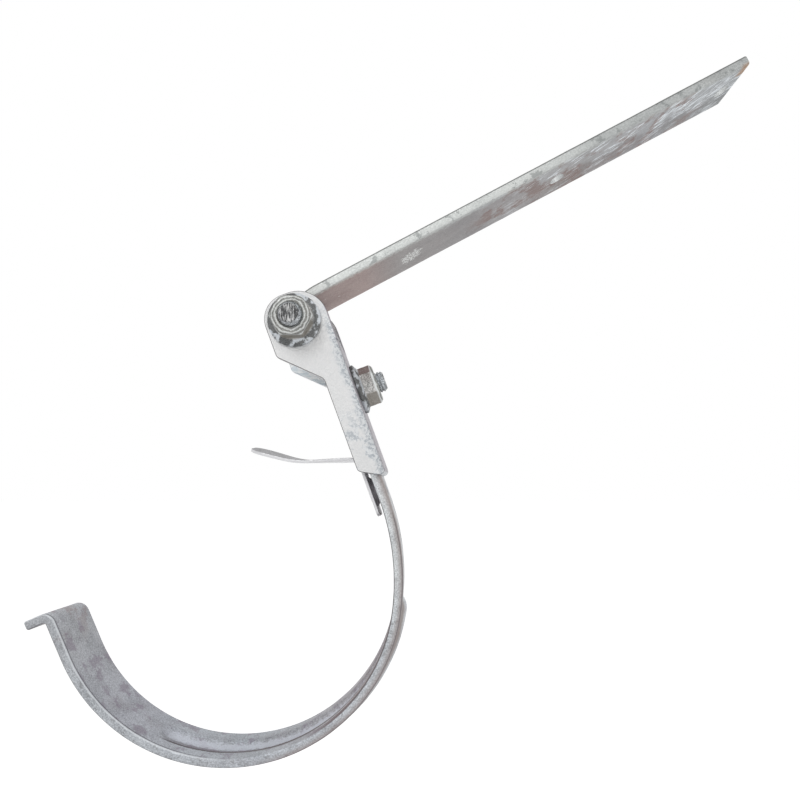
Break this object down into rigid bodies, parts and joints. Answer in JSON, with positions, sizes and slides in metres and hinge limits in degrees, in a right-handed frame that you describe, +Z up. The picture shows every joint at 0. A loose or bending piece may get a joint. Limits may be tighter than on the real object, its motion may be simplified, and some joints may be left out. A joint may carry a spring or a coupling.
{
  "type": "hinged gutter bracket",
  "caption": "Flat arm for a rafter, pivoted in a folded clamp that holds a half-round hook for a gutter, with a spring strip over the gutter's rear edge.",
  "frame": {"origin": "middle screw hole of the arm, on the underside that lies on the rafter", "axes": "+X towards the roof, +Y along the gutter, +Z up"},
  "size_m": [0.3338, 0.0555, 0.3297],
  "materials": {
    "galvanised_bar": "hot-dip galvanised steel bar, dull grey with spangle and brown weather stains",
    "galvanised_sheet": "hot-dip galvanised steel sheet, light matt grey",
    "galvanised_strip": "hot-dip galvanised spring strip, light satin grey",
    "galvanised_bolts": "hot-dip galvanised, rough and dark in places",
    "galvanised_nuts": "hot-dip galvanised, blotched light and brown-grey"
  },
  "bodies": {
    "arm": {"rafter_arm": "galvanised_bar"},
    "bracket": {"pivot_bracket": "galvanised_sheet", "pivot_bolt": "galvanised_bolts", "pivot_nut": "galvanised_nuts", "clamp_bolt": "galvanised_bolts", "clamp_nut": "galvanised_nuts"},
    "hook": {"gutter_hook": "galvanised_bar", "spring_strip": "galvanised_strip", "spring_rivet": "galvanised_bolts"}
  },
  "joints": [
    {"name": "pitch_hinge", "type": "hinge", "parent": "arm", "child": "bracket", "pos_m": [-0.12289, 0, -0.07347], "axis": [0, 1, 0], "range_deg": [-55, 82]},
    {"name": "height_slide", "type": "slide", "parent": "bracket", "child": "hook", "axis": [-0.342, 0, 0.9397], "range_m": [-0.01, 0.005]}
  ]
}
